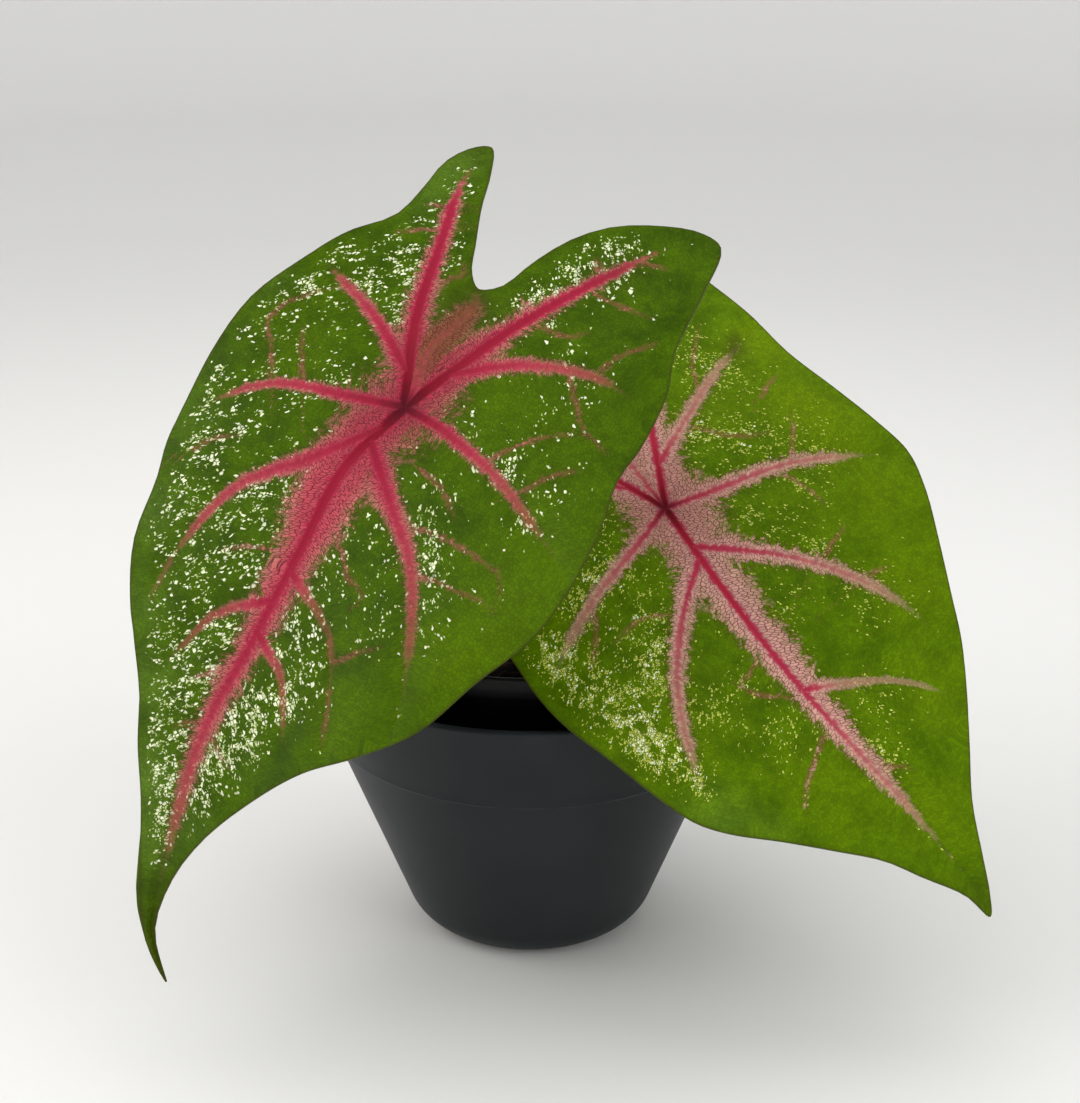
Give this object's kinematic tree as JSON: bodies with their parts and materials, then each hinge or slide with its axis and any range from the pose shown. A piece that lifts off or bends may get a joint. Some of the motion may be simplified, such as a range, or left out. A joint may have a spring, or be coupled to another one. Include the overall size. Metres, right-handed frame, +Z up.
{
  "type": "potted foliage plant",
  "caption": "Low potted foliage plant: broad heart-shaped leaves with waved, drooping tips on thin stalks, in soil in a nursery pot seated in a tapered cachepot.",
  "frame": {"origin": "centre of the cachepot's flat foot, on the surface that it stands on", "axes": "+Z up along the pots' common axis; -Y faces the viewer, with the two leaf tips hanging towards -Y; +X to the viewer's right"},
  "size_m": [0.2375, 0.1886, 0.2414],
  "materials": {
    "cachepot": "satin",
    "nursery_pot": "matte",
    "soil": "matte",
    "petiole_left": "satin",
    "petiole_right": "satin",
    "blade_left": "satin",
    "blade_right": "satin"
  },
  "bodies": {
    "root": {"cachepot": "cachepot", "nursery_pot": "nursery_pot", "soil": "soil", "petiole_left": "petiole_left", "petiole_right": "petiole_right", "blade_left": "blade_left", "blade_right": "blade_right"}
  },
  "joints": []
}
